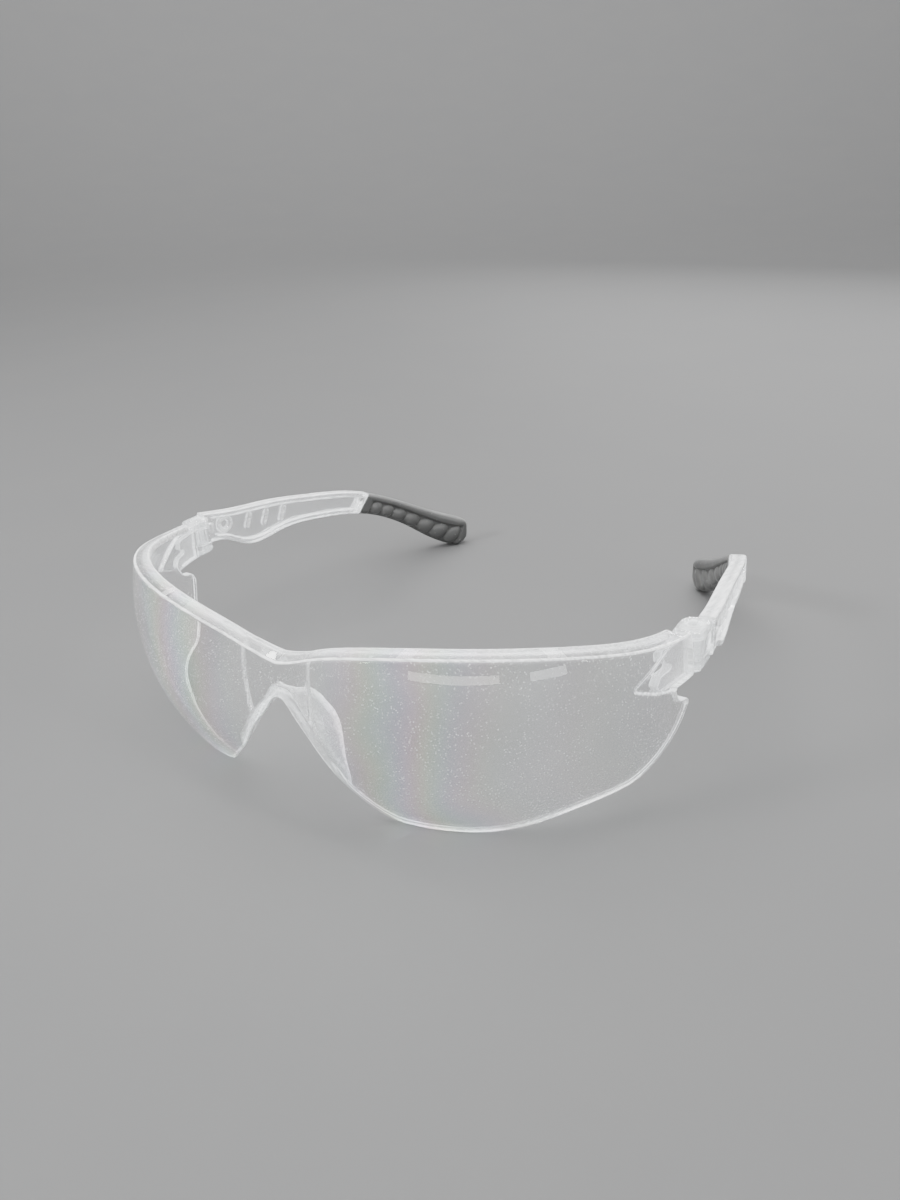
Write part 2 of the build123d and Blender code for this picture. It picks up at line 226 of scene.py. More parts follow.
def lower_edge(x, y):
    """Height of the lens's lower edge below a place on it."""
    front = np.where(x < REST_FROM, z_nose_of(x), np.where(x < REST_TO, 0.0, z_outer_of(np.minimum(x, 66.0))))
    back = np.where(y > BACK_EDGE[0][0], z_back_of(y), BACK_EDGE[0][1])
    gap = front - back
    return np.maximum(front, back) + 0.8 * np.exp(-((gap / 1.8) ** 2)) * (x > 50)


def find_edge(w, edge, low, high):
    """Height at which each column meets an edge curve, by halving."""
    lo, hi = np.full(np.shape(w), low), np.full(np.shape(w), high)
    for _ in range(40):
        mid = (lo + hi) / 2
        p, _n = lens_point(w, mid)
        above = mid > edge(p[..., 0], p[..., 1])
        hi = np.where(above, mid, hi)
        lo = np.where(above, lo, mid)
    return (lo + hi) / 2


def lens_depth(p):
    """Thickness of the lens at an outer-surface place: thicker at the bridge and at the hinge corner."""
    bridge = (BRIDGE_T - LENS_T) * smooth((BRIDGE_HALF - p[..., 0]) / 0.9 + 0.5)
    pad = PAD_T * inside_amount(p[..., 1], p[..., 2], PAD, 0.7)
    return LENS_T + bridge + pad * (p[..., 0] > 50)


def step_lines(p):
    """1 along the moulded steps inside the lens, at the bridge and round the corner pad, where painted highlight goes;
    0 elsewhere.
    """
    bridge = smooth((BRIDGE_HALF - p[..., 0]) / 0.9 + 0.5)
    bridge = 0.6 * bridge * (1 - bridge) * smooth((p[..., 2] - 23) / 4)
    pad = inside_amount(p[..., 1], p[..., 2], PAD, 0.7) * (p[..., 0] > 50)
    return 4 * np.maximum(bridge, pad * (1 - pad))


def arc(cd, ch, radius, start, end, steps=4):
    """Points (depth, height) on a small arc; angles in degrees from +depth towards +height."""
    turns = np.radians(np.linspace(start, end, steps + 1))
    return [(cd + radius * np.cos(t), ch + radius * np.sin(t)) for t in turns]


def lens_ring(w, z_low, z_high, slope, rows):
    """One closed cross-section of the lens: up the front, over the brow ledge, down the back, round the lower rim."""
    e = EDGE_ROUND
    low_p, low_n = lens_point(w, z_low)
    high_p, high_n = lens_point(w, z_high)
    fade = 1 - smooth((high_p[1] - LEDGE_END[0]) / (LEDGE_END[1] - LEDGE_END[0]))
    top_t = float(lens_depth(high_p))
    ledge = top_t + (LEDGE_DEPTH - top_t) * fade
    rise, lip = LEDGE_RISE * fade, LEDGE_T * fade + e * (1 - fade)
    nose = smooth((26.0 - low_p[0]) / 4.0)
    foot_t = float(lens_depth(low_p))
    reach = max(foot_t, nose * (reach_of(low_p[2]) - low_p[1]) / max(0.3, -low_n[1]))
    stretch = sqrt(1 + slope**2)
    wall = e + (FLANGE_T * stretch - e) * smooth((reach - foot_t) / 1.5)
    soft = min(0.7, wall * 0.45)

    share = np.linspace(0, 1, rows)
    share = 0.5 * (share + smooth(share))
    front_z = z_low + e + (z_high - z_low - 2 * e) * share
    front, _n = lens_point(np.full(rows, w), front_z)

    top = arc(e, -e, e, 180, 90)
    top += [(e + (ledge - 2 * e) * s, rise * s) for s in (0.08, 0.5, 0.92)]
    top += arc(ledge - e, rise - e, e, 90, 0)
    top += arc(ledge - e, rise - lip + e, e, 0, -90)
    top += arc(top_t + 0.5 * fade, rise - lip - 0.5 * fade, 0.5 * fade, 90, 180)

    under_z = z_high + rise - lip - 0.9 * fade
    over_z = z_low + wall + soft + 0.2
    back_z = over_z + (under_z - over_z) * share[::-1]
    skin, skin_n = lens_point(np.full(rows, w), back_z)
    depth = lens_depth(skin)
    keep = smooth((skin[:, 2] - z_low) / 2)
    depth = depth * keep + foot_t * (1 - keep)
    back = skin - skin_n * depth[:, None]

    rim = arc(foot_t + soft, wall + soft, soft, 180, 270)[1:] if reach > foot_t + 0.3 else [(foot_t, wall)] * 4
    half = wall / 2
    nib = min(half, 0.6)
    rim += [(foot_t + soft + (reach - foot_t - soft - nib) * s, wall - 0.15 * wall * s) for s in (0.33, 0.66)]
    rim += arc(max(reach, foot_t) - nib, half, nib, 60, -60)
    rim += [(e + (reach - nib - e) * s, 0.0) for s in (0.9, 0.5, 0.1)]
    rim += arc(e, e, e, 270, 180)

    def place(pairs, p, n):
        return [p - n * d + np.array([0, 0, h]) for d, h in pairs]

    ring = np.concatenate([front, place(top, high_p, high_n), back, place(rim, low_p, low_n)])
    ring[:, 1] = np.minimum(ring[:, 1], LENS_BACK)
    flange = reach > foot_t + 0.3
    # Painted highlight per ring point: white milkiness on the rounded edges of the brow and the lower rim, standing
    # for light caught in them; the front face gets none.
    painted_glow_top = [1.0] * 5 + [0.06, 0.12, 0.06] + [1.0] * 5 + [0.6] * 5 + [0.2] * 5
    painted_glow_rim = [0.3 if flange else 0.8] * 4 + [0.06] * 2 + [1.0] * 5 + [0.12] * 3 + [1.0] * 5
    return ring, np.concatenate([np.zeros(rows), painted_glow_top, step_lines(skin), painted_glow_rim])


def mark_notch(lens):
    """The cut faces of the corner notch get the painted highlight like the other edges."""
    me = lens.data
    co = np.empty(3 * len(me.vertices))
    me.vertices.foreach_get("co", co)
    co = co.reshape(-1, 3) / MM
    painted_glow = np.empty(len(co))
    me.attributes["painted_glow"].data.foreach_get("value", painted_glow)
    place, corners = co[:, 1:], np.array(NOTCH)
    for a, b in zip(corners, np.roll(corners, -1, axis=0)):
        along = np.clip((place - a) @ (b - a) / np.sum((b - a) ** 2), 0, 1)
        gap = np.linalg.norm(place - a - along[:, None] * (b - a), axis=1)
        painted_glow[(gap < 0.05) & (np.abs(co[:, 0]) > 55)] = 1.0
    me.attributes["painted_glow"].data.foreach_set("value", painted_glow)


def build_lens(material):
    columns, rows = ((250, 96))
    w = np.linspace(0, 1, columns)
    w = w + 0.045 * np.sin(2 * pi * w) / (2 * pi) * 4
    w = (w - w[0]) / (w[-1] - w[0])
    z_low = find_edge(w, lower_edge, -3.0, 34.0)
    z_high = find_edge(w, lambda x, y: z_top_of(x), 20.0, 52.0)
    foot, _n = lens_point(w, z_low)
    slope = np.abs(np.gradient(foot[:, 2]) / np.maximum(np.hypot(np.gradient(foot[:, 0]), np.gradient(foot[:, 1])), 1e-3))
    rings = [lens_ring(w[i], z_low[i], z_high[i], min(slope[i], 1.8), rows) for i in range(columns)]
    points = len(rings[0][0])
    verts = np.concatenate([ring for ring, _painted_glow in rings])
    painted_glow = np.concatenate([painted_glow for _ring, painted_glow in rings])
    # The last ring, the flat cap at the hinge end, is fully painted with highlight.
    painted_glow[-points:] = 1.0
    verts[:points, 0] = 0.0
    faces = ring_faces(columns, points)
    faces.append(tuple(range((columns - 1) * points, columns * points)))
    count = len(verts)
    both = np.concatenate([verts, verts * [-1, 1, 1]])
    faces += [tuple(v + count for v in f[::-1]) for f in faces]
    lens = write_mesh("lens_shell", both, faces, material, weld=0.012, painted_glow=np.tile(painted_glow, 2))

    n = len(NOTCH)
    prism = [(x, y, z) for x in (-90, 90) for y, z in NOTCH]
    sides = [(i, (i + 1) % n, n + (i + 1) % n, n + i) for i in range(n)]
    faces = sides + [tuple(range(n))[::-1], tuple(range(n, 2 * n))]
    cutter = write_mesh("notch", prism, faces, material, painted_glow=np.ones(2 * n))
    apply_boolean(lens, cutter, "DIFFERENCE")
    mark_notch(lens)
    return lens


# ---------------------------------------------------------------- temples
HINGE = [1000 * v for v in next(j for j in frame["joints"] if j["name"] == "temple_left_fold")["pos_m"]]
KNUCKLE_R, PIN_BORE_R, TONGUE = 2.9, 1.25, (31.2, 35.4)
EDGE_SOFT, TIP_SOFT = 0.45, 1.5
BEAD_AT, BOSS_AT, BOSS_R = (55.2, 34.6), (60.6, 33.0), 2.4
BARS_AT, BAR_HALF, BAR_LEAN = [(69.0, 31.2), (75.2, 30.3), (81.6, 29.4)], 2.3, radians(25)
MARK_RISE = 0.42
PILLOWS, PILLOW_SPAN = 7, (114.0, 141.5)
PILLOW_MID, PILLOW_TALL, PILLOW_RISE, PILLOW_DIP = 0.36, 0.33, 1.15, 0.65

plan_curve = clamped_spline(PLAN, (-0.1, 1), (-0.74, 0.67))
plan_x_of = curve_height(plan_curve[:, ::-1])
plan_slope_of = curve_height(np.stack([plan_curve[:, 1], np.gradient(plan_curve[:, 0], plan_curve[:, 1])], -1))
upper_curve = clamped_spline(UPPER, (1, -0.2), (1, -0.55))
lower_curve = clamped_spline(LOWER, (1, 0), (1, -0.6))
end_curve = clamped_spline([UPPER[-1], TIP_END, TIP_HEEL, LOWER[-1]], (1, -0.55), (-1, 0.6))
turn = int(np.argmax(end_curve[:, 0]))
upper_of = curve_height(np.concatenate([upper_curve, end_curve[1 : turn + 1]]))
lower_of = curve_height(np.concatenate([lower_curve, end_curve[turn:-1][::-1]]))
END_Y = float(end_curve[turn, 0])


def joint_y(z):
    """Where the soft tip starts, at height z."""
    return JOINT_FOOT[0] + JOINT_LEAN * (z - JOINT_FOOT[1])


def beside_plan(y, offset):
    """Points a given distance outward of the temple's plan curve."""
    slope = plan_slope_of(y)
    size = np.sqrt(1 + slope**2)
    return plan_x_of(y) + offset / size, y - offset * slope / size


def slanted_rows(y_mid, lean, share):
    """Heights and depths of the points across the temple at one station."""
    z_mid = (upper_of(y_mid) + lower_of(y_mid)) / 2
    y = np.full(len(share), y_mid)
    for _ in range(4):
        z = lower_of(y) + (upper_of(y) - lower_of(y)) * share
        y = y_mid + lean * (z - z_mid)
    return y, z


def edge_rounding(y, z, thickness, soft):
    """Half thickness with its upper and lower edges rounded."""
    near = np.clip(np.minimum(z - lower_of(y), upper_of(y) - z), 0, soft)
    return thickness / 2 - soft + np.sqrt(soft**2 - (soft - near) ** 2)


def marks(y, z):
    """Raised relief on the recessed panel: a bead, a ring and three slanted bars."""
    rise = smooth(1.3 - np.hypot(y - BEAD_AT[0], z - BEAD_AT[1]) / 0.9)
    ring = np.abs(np.hypot(y - BOSS_AT[0], z - BOSS_AT[1]) - BOSS_R + 0.45)
    rise = np.maximum(rise, smooth((0.75 - ring) / 0.4))
    for by, bz in BARS_AT:
        along = (y - by) * sin(BAR_LEAN) + (z - bz) * cos(BAR_LEAN)
        across = (y - by) * cos(BAR_LEAN) - (z - bz) * sin(BAR_LEAN)
        gap = np.hypot(across, np.maximum(np.abs(along) - BAR_HALF + 0.5, 0))
        rise = np.maximum(rise, smooth((0.8 - gap) / 0.4))
    return MARK_RISE * rise


def arm_half(y, z):
    """Half thickness of the clear arm: rails, recessed panel, relief and end collar."""
    inset = np.minimum(z - lower_of(y), upper_of(y) - z) - RAIL
    to_joint = joint_y(z) - y
    recess = smooth(inset / 0.35 + 0.3) * smooth((y - PANEL_FRONT) / 0.5 + 0.5)
    recess = recess * smooth((to_joint - COLLAR_W - 0.5) / 0.5)
    full = edge_rounding(y, z, ARM_T, EDGE_SOFT)
    half = full + (WEB_T / 2 - full) * recess + marks(y, z) * np.maximum(recess, y < PANEL_FRONT)
    collar = smooth((COLLAR_W - to_joint) / 0.6 + 0.5) * smooth(to_joint / 0.5 + 0.6)
    return half + (edge_rounding(y, z, COLLAR_T, 0.8) - full) * collar


def tip_half(y, z, inner):
    """Half thickness of the soft tip; the inner face carries a row of pillows on its lower half."""
    shrink = np.sqrt(np.clip(1 - (np.clip(y - END_Y + 4.0, 0, None) / 4.05) ** 2, 0, 1))
    half = edge_rounding(y, z, TIP_T, np.minimum(TIP_SOFT, np.maximum(0.4, (upper_of(y) - lower_of(y)) / 2.5)))
    half = half * shrink
    if inner:
        tall = np.maximum(upper_of(y) - lower_of(y), 0.5)
        height = (z - lower_of(y)) / tall
        along = (y - 0.55 * (z - lower_of(y)) - PILLOW_SPAN[0]) / (PILLOW_SPAN[1] - PILLOW_SPAN[0]) * PILLOWS
        across = 2 * (along - np.floor(along)) - 1
        up = (height - PILLOW_MID) / PILLOW_TALL
        dome = np.sqrt(np.clip(1 - across**2 - up**2, 0, 1))
        row = smooth((1.25 - np.abs(up)) / 0.35) * smooth((along + 0.15) / 0.2) * smooth((PILLOWS + 0.1 - along) / 0.2)
        half = half + row * (PILLOW_RISE * dome - PILLOW_DIP) * shrink
    return half


def temple_rings(stations, leans, share, half_outer, half_inner):
    """Closed cross-sections along the temple, outer face up and inner face down."""
    rings = []
    for y_mid, lean in zip(stations, leans):
        y, z = slanted_rows(y_mid, lean, share)
        ox, oy = beside_plan(y, half_outer(y, z))
        ix, iy = beside_plan(y, -half_inner(y, z))
        outer = np.stack([ox, oy, z], -1)
        inner = np.stack([ix, iy, z], -1)
        upper_mid, lower_mid = (outer[-1:] + inner[-1:]) / 2, (outer[:1] + inner[:1]) / 2
        rings.append(np.concatenate([outer, upper_mid, inner[::-1], lower_mid]))
    return rings


def loft(name, rings, material, weld=0.004):
    count = len(rings[0])
    faces = ring_faces(len(rings), count)
    faces.append(tuple(range(count))[::-1])
    faces.append(tuple(range((len(rings) - 1) * count, len(rings) * count)))
    return write_mesh(name, np.concatenate(rings), faces, material, sharp=40, weld=weld)


def edge_packed(count):
    """Shares from 0 to 1, closer together at both ends."""
    s = np.linspace(0, 1, count)
    return 0.35 * s + 0.65 * (1 - np.cos(pi * s)) / 2


def prism(name, outline, low, high, material, soft):
    """An upright prism of a plan outline with softened rims."""
    n = len(outline)
    levels = [(low, soft), (low + soft * 0.3, soft * 0.3), (low + soft, 0.0), (high - soft, 0.0)]
    levels += [(high - soft * 0.3, soft * 0.3), (high, soft)]
    pts = np.array(outline, float)
    ways = np.roll(pts, -1, axis=0) - np.roll(pts, 1, axis=0)
    ways /= np.linalg.norm(ways, axis=1)[:, None]
    normal = np.stack([ways[:, 1], -ways[:, 0]], -1)
    if np.sum(normal * (pts - pts.mean(axis=0))) < 0:
        normal = -normal
    rings = [np.column_stack([pts - normal * inset, np.full(n, z)]) for z, inset in levels]
    return loft(name, rings, material)


def circle(cx, cy, r, start=0.0, end=360.0, steps=48):
    turns = np.radians(np.linspace(start, end, steps + 1))
    return [(cx + r * np.cos(t), cy + r * np.sin(t)) for t in turns]


def mirrored_copy(obj, name):
    me = obj.data.copy()
    me.transform(Matrix.Scale(-1, 4, (1, 0, 0)))
    me.flip_normals()
    twin = bpy.data.objects.new(name, me)
    bpy.context.scene.collection.objects.link(twin)
    return twin


def arm_painted_glow(p):
    """Painted highlight on the arm: outline, inner rail edges, relief and collar get white milkiness standing for
    light caught in them, the recessed panel stays clear.
    """
    y, z = p[:, 1], p[:, 2]
    near = np.minimum(z - lower_of(y), upper_of(y) - z)
    to_joint = joint_y(z) - y
    off_plan = np.abs(p[:, 0] - plan_x_of(y)) / np.sqrt(1 + plan_slope_of(y) ** 2)
    corner = smooth((off_plan - ARM_T / 2 + 0.9) / 0.5)
    outline = smooth((0.40 - near) / 0.25) * (0.25 + 0.75 * corner)
    step = np.maximum(1 - np.abs(near - RAIL) / 0.3, 0) * (y > PANEL_FRONT - 0.3)
    rail = 0.22 * (near < RAIL)
    collar = 0.45 * smooth((COLLAR_W - to_joint) / 0.3 + 0.5)
    relief = 0.9 * marks(y, z) / MARK_RISE
    return np.max([outline, step, rail, collar, relief, 0.05 + 0 * y], axis=0)


def build_arm(material):
    steps, rows = ((230, 52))
    mid_z = (upper_of(112.5) + lower_of(112.5)) / 2
    stations = np.linspace(ARM_FRONT, joint_y(mid_z), steps)
    leans = JOINT_LEAN * smooth((stations - 95) / (stations[-1] - 95))
    arm = loft("arm_left", temple_rings(stations, leans, edge_packed(rows), arm_half, arm_half), material)
    hx, hy, _z = HINGE
    inner_x, outer_x = -1.3, 2.1
    start = np.degrees(atan2(sqrt(KNUCKLE_R**2 - outer_x**2), outer_x))
    end = np.degrees(atan2(sqrt(KNUCKLE_R**2 - inner_x**2), inner_x)) - 360
    outline = circle(hx, hy, KNUCKLE_R, start, end)
    outline += [(hx + inner_x, ARM_FRONT + 1.2), (hx + outer_x, ARM_FRONT + 1.2)]
    tongue = prism("tongue", outline, TONGUE[0], TONGUE[1], material, 0.25)
    bore = prism("bore", circle(hx, hy, PIN_BORE_R)[:-1], TONGUE[0] - 2, TONGUE[1] + 2, material, 0.1)
    apply_boolean(tongue, bore, "DIFFERENCE")
    apply_boolean(arm, tongue, "UNION")
    set_painted_glow(arm, arm_painted_glow)
    return arm


def build_tip(material):
    steps, rows = ((190, 48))
    mid_z = (upper_of(112.5) + lower_of(112.5)) / 2
    first = joint_y(mid_z) + 0.03
    s = np.linspace(0, 1, steps)
    stations = first + (END_Y - 0.02 - first) * (0.6 * s + 0.4 * np.sin(s * pi / 2))
    leans = JOINT_LEAN * (1 - smooth((stations - first) / 20))
    outer = lambda y, z: tip_half(y, z, False)
    inner = lambda y, z: tip_half(y, z, True)
    return loft("tip_left_skin", temple_rings(stations, leans, edge_packed(rows), outer, inner), material)


# ---------------------------------------------------------------- materials
def add_node(tree, kind, values=None, **settings):
    """A node with its settings and inputs; an input may be a value or another node's output."""
    node = tree.nodes.new(kind)
    for key, value in settings.items():
        setattr(node, key, value)
    for key, value in (values or {}).items():
        socket = node.inputs[key]
        if isinstance(value, bpy.types.NodeSocket):
            tree.links.new(value, socket)
        else:
            socket.default_value = value
    return node


def new_material(name):
    mat = bpy.data.materials.new(name)
    mat.use_nodes = True
    tree = mat.node_tree
    tree.nodes.clear()
    out = add_node(tree, "ShaderNodeOutputMaterial")
    coords = add_node(tree, "ShaderNodeTexCoord").outputs["Object"]
    return mat, tree, coords, out


def noise(tree, coords, size, detail=2.0):
    """Soft random pattern with features about size millimetres across."""
    values = {"Vector": coords, "Scale": 1 / (size * MM), "Detail": detail}
    return add_node(tree, "ShaderNodeTexNoise", values).outputs["Fac"]


def spread(tree, value, low, high, start=0.3, end=0.7):
    """value, from start..end, spread over low..high."""
    values = {"Value": value, "From Min": start, "From Max": end, "To Min": low, "To Max": high}
    return add_node(tree, "ShaderNodeMapRange", values).outputs["Result"]


def maths(tree, operation, a, b):
    return add_node(tree, "ShaderNodeMath", {0: a, 1: b}, operation=operation).outputs[0]


def blend_colors(tree, factor, a, b):
    values = {"Factor": factor, "A": (*a, 1), "B": (*b, 1)}
    return add_node(tree, "ShaderNodeMix", values, data_type="RGBA").outputs["Result"]


def mix_shaders(tree, factor, a, b):
    return add_node(tree, "ShaderNodeMixShader", {0: factor, 1: a, 2: b}).outputs[0]


def dust(tree, coords, size, share):
    """Fine round specks about size millimetres apart, in drifts."""
    cells = {"Vector": coords, "Scale": 1 / (size * MM)}
    cell = add_node(tree, "ShaderNodeTexVoronoi", cells)
    speck = spread(tree, cell.outputs["Distance"], 1.0, 0.0, 0.14, 0.32)
    kept = spread(tree, cell.outputs["Color"], 0.0, 1.0, 1 - share, 1 - share * 0.5)
    drift = spread(tree, noise(tree, coords, 9, 3), 0.25, 1.0)
    return maths(tree, "MULTIPLY", maths(tree, "MULTIPLY", speck, kept), drift)


def scratches(tree, coords, turn, size):
    """Sparse hairlines, all roughly one way."""
    mapped = {"Vector": coords, "Rotation": (turn, turn * 0.6, turn * 1.7), "Scale": (1.0, 0.05, 1.0)}
    along = add_node(tree, "ShaderNodeMapping", mapped).outputs[0]
    cells = {"Vector": along, "Scale": 1 / (size * MM)}
    lines = add_node(tree, "ShaderNodeTexVoronoi", cells, feature="DISTANCE_TO_EDGE").outputs["Distance"]
    patches = spread(tree, noise(tree, coords, 14, 2), 0.0, 1.0, 0.52, 0.68)
    return maths(tree, "MULTIPLY", spread(tree, lines, 0.5, 0.0, 0.002, 0.008), patches)


def edge_lines(tree, width):
    """1 along corners, fading out about width millimetres from them."""
    rounded = add_node(tree, "ShaderNodeBevel", {"Radius": width * MM}, samples=6).outputs[0]
    flat = add_node(tree, "ShaderNodeNewGeometry").outputs["Normal"]
    dot = add_node(tree, "ShaderNodeVectorMath", {0: rounded, 1: flat}, operation="DOT_PRODUCT").outputs["Value"]
    return spread(tree, dot, 1.0, 0.12, 0.80, 0.985)


def painted_rainbow_sheen(tree, coords, tint):
    """The tint with weak bands of colour either side of the bridge: painted iridescent sheen, the rainbow the lens
    shows in its reflections, put into the colour.
    """
    x = add_node(tree, "ShaderNodeSeparateXYZ", {0: coords}).outputs["X"]
    away = maths(tree, "ABSOLUTE", x, 0.0)
    bands = maths(tree, "ADD", maths(tree, "MULTIPLY", away, 1 / (13 * MM)), noise(tree, coords, 22, 1))
    hue = maths(tree, "FRACT", bands, 0.0)
    values = {"Red": hue, "Green": 0.16, "Blue": 1.0}
    color = add_node(tree, "ShaderNodeCombineColor", values, mode="HSV").outputs["Color"]
    rise = spread(tree, away, 0.0, 1.0, 0.010, 0.024)
    fall = spread(tree, away, 1.0, 0.12, 0.034, 0.050)
    values = {"Factor": maths(tree, "MULTIPLY", rise, fall), "A": (*tint, 1), "B": color}
    return add_node(tree, "ShaderNodeMix", values, data_type="RGBA").outputs["Result"]


def clear_plastic(name, tint, rough, haze, specks, painted_glow, streak, rainbow_sheen=False, ripple=0.02, edge_glow=0.0):
    """Moulded polycarbonate: clear, faintly rippled, a little dusty, with hairline scratches; painted highlight as
    white milkiness along its edges, and optionally painted rainbow sheen in the tint.
    """
    mat, tree, coords, out = new_material(name)
    lines = maths(tree, "ADD", scratches(tree, coords, 0.7, 5), scratches(tree, coords, 2.3, 8))
    wear = maths(tree, "MULTIPLY", lines, 0.25)
    roughness = maths(tree, "ADD", spread(tree, noise(tree, coords, 12, 4), *rough), wear)
    wave = add_node(
        tree,
        "ShaderNodeBump",
        {"Strength": ripple, "Distance": 0.4 * MM, "Height": noise(tree, coords, 7, 3)},
    ).outputs[0]
    values = {
        "Base Color": blend_colors(tree, noise(tree, coords, 20, 2), tint, [c * 0.985 for c in tint]),
        "Roughness": roughness,
        "IOR": 1.585,
        "Transmission Weight": 1.0,
        "Normal": wave,
    }
    # Painted iridescent sheen: rainbow bands put into the tint.
    if rainbow_sheen:
        values["Base Color"] = painted_rainbow_sheen(tree, coords, tint)
    body = add_node(tree, "ShaderNodeBsdfPrincipled", values).outputs[0]
    # A white diffuse coat shows both the real dust and the painted edge highlight.
    dust_and_glow_coat = add_node(tree, "ShaderNodeBsdfDiffuse", {"Color": (0.92, 0.93, 0.94, 1)}).outputs[0]
    film_of_dust = spread(tree, noise(tree, coords, 16, 5), haze * 0.5, haze * 1.5)
    dust_and_glow_cover = maths(tree, "ADD", film_of_dust, maths(tree, "MULTIPLY", dust(tree, coords, 0.55, 0.6), specks))
    dust_and_glow_cover = maths(tree, "ADD", dust_and_glow_cover, maths(tree, "MULTIPLY", lines, 0.05))
    # Painted highlight: streaky white milkiness, placed by the per-point painted_glow attribute, and for parts given
    # edge_glow by their corners instead, standing for light caught in the edges.
    drawn = add_node(tree, "ShaderNodeMapping", {"Vector": coords, "Scale": streak}).outputs[0]
    edge_glow_paint = spread(tree, noise(tree, drawn, 0.6, 3), painted_glow * 0.45, painted_glow * 1.3)
    where = add_node(tree, "ShaderNodeAttribute", attribute_name="painted_glow").outputs["Fac"]
    if edge_glow:
        where = edge_lines(tree, edge_glow)
    edge_glow_paint = maths(tree, "MULTIPLY", edge_glow_paint, where)
    dust_and_glow_cover = maths(tree, "ADD", dust_and_glow_cover, edge_glow_paint)
    surface = mix_shaders(tree, dust_and_glow_cover, body, dust_and_glow_coat)
    edge = add_node(tree, "ShaderNodeLayerWeight", {"Blend": 0.35}).outputs["Facing"]
    shade = blend_colors(tree, edge, (0.93, 0.94, 0.94), (0.45, 0.47, 0.48))
    shadow = add_node(tree, "ShaderNodeBsdfTransparent", {"Color": shade}).outputs[0]
    is_shadow = add_node(tree, "ShaderNodeLightPath").outputs["Is Shadow Ray"]
    tree.links.new(mix_shaders(tree, is_shadow, surface, shadow), out.inputs["Surface"])
    return mat


def soft_rubber(name, dark, worn):
    """Satin thermoplastic rubber: fine grain, patchy sheen, edges rubbed paler, a little lint."""
    mat, tree, coords, out = new_material(name)
    ridge = add_node(tree, "ShaderNodeNewGeometry").outputs["Pointiness"]
    rubbed = maths(tree, "MULTIPLY", spread(tree, ridge, 0.0, 0.7, 0.51, 0.60), noise(tree, coords, 2.5, 4))
    lint = maths(tree, "MULTIPLY", dust(tree, coords, 0.9, 0.35), 0.5)
    shade = maths(tree, "ADD", maths(tree, "MULTIPLY", noise(tree, coords, 10, 4), 0.35), rubbed)
    values = {"Factor": lint, "A": blend_colors(tree, shade, dark, worn), "B": (0.30, 0.30, 0.30, 1)}
    color = add_node(tree, "ShaderNodeMix", values, data_type="RGBA").outputs["Result"]
    grain = add_node(
        tree,
        "ShaderNodeBump",
        {"Strength": 0.35, "Distance": 0.03 * MM, "Height": noise(tree, coords, 0.28, 3)},
    ).outputs[0]
    values = {
        "Base Color": color,
        "Roughness": spread(tree, noise(tree, coords, 5, 4), 0.36, 0.54),
        "Specular IOR Level": 0.45,
        "Sheen Weight": 0.12,
        "Sheen Roughness": 0.4,
        "Normal": grain,
    }
    body = add_node(tree, "ShaderNodeBsdfPrincipled", values).outputs[0]
    tree.links.new(body, out.inputs["Surface"])
    return mat


def floor_paper(name):
    mat, tree, coords, out = new_material(name)
    tone = blend_colors(tree, noise(tree, coords, 60, 5), (0.098, 0.099, 0.101), (0.107, 0.107, 0.106))
    fibre = add_node(
        tree,
        "ShaderNodeBump",
        {"Strength": 0.15, "Distance": 0.05 * MM, "Height": noise(tree, coords, 0.8, 4)},
    ).outputs[0]
    values = {"Base Color": tone, "Roughness": 0.75, "Normal": fibre}
    body = add_node(tree, "ShaderNodeBsdfPrincipled", values).outputs[0]
    tree.links.new(body, out.inputs["Surface"])
    return mat


# ---------------------------------------------------------------- pieces
ALONG_X, ALONG_Y = (0.06, 1.0, 1.0), (1.0, 0.06, 1.0)
# The sixth value of each clear material is the strength of its painted edge highlight; brackets and pins take theirs
# from their corners through edge_glow.
LENS_CLEAR = clear_plastic(
    "lens_clear", (0.985, 0.99, 0.99), (0.0, 0.02), 0.055, 0.7, 0.90, ALONG_X, rainbow_sheen=True
)
ARM_CLEAR = clear_plastic("temple_clear", (0.98, 0.985, 0.99), (0.02, 0.07), 0.07, 0.15, 0.85, ALONG_Y, ripple=0.12)
BRACKET_CLEAR = clear_plastic(
    "bracket_clear", (0.98, 0.985, 0.985), (0.02, 0.08), 0.07, 0.15, 0.90, ALONG_Y, ripple=0.30, edge_glow=0.40
)
PIN_CLEAR = clear_plastic(
    "pin_clear", (0.97, 0.98, 0.98), (0.04, 0.10), 0.14, 0.10, 0.90, ALONG_Y, ripple=0.10, edge_glow=0.30
)
TIP_GREY = soft_rubber("tip_grey", (0.050, 0.051, 0.051), (0.17, 0.17, 0.165))

lens = build_lens(LENS_CLEAR)
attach(lens, FRONT)
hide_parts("lens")

arm, tip = build_arm(ARM_CLEAR), build_tip(TIP_GREY)
arms = {"left": arm, "right": mirrored_copy(arm, "arm_right")}
tips = {"left": tip, "right": mirrored_copy(tip, "tip_right_skin")}
for side in SIDES:
    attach(arms[side], f"temple_{side}_body")
    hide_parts(f"temple_{side}")
    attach(tips[side], f"temple_{side}_body")
    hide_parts(f"temple_tip_{side}")
    for node, material, width in (
        (f"hinge_bracket_{side}", BRACKET_CLEAR, 0.18),
        (f"hinge_pin_{side}", PIN_CLEAR, 0.08),
    ):
        obj = frame["nodes"][node]
        for slot in obj.material_slots:
            slot.material = material
        weld = obj.modifiers.new("weld", "WELD")
        weld.merge_threshold = 0.005 * MM
        bevel = obj.modifiers.new("soft_edges", "BEVEL")
        bevel.width, bevel.segments = width * MM, 3
        bevel.limit_method, bevel.angle_limit = "ANGLE", radians(40)


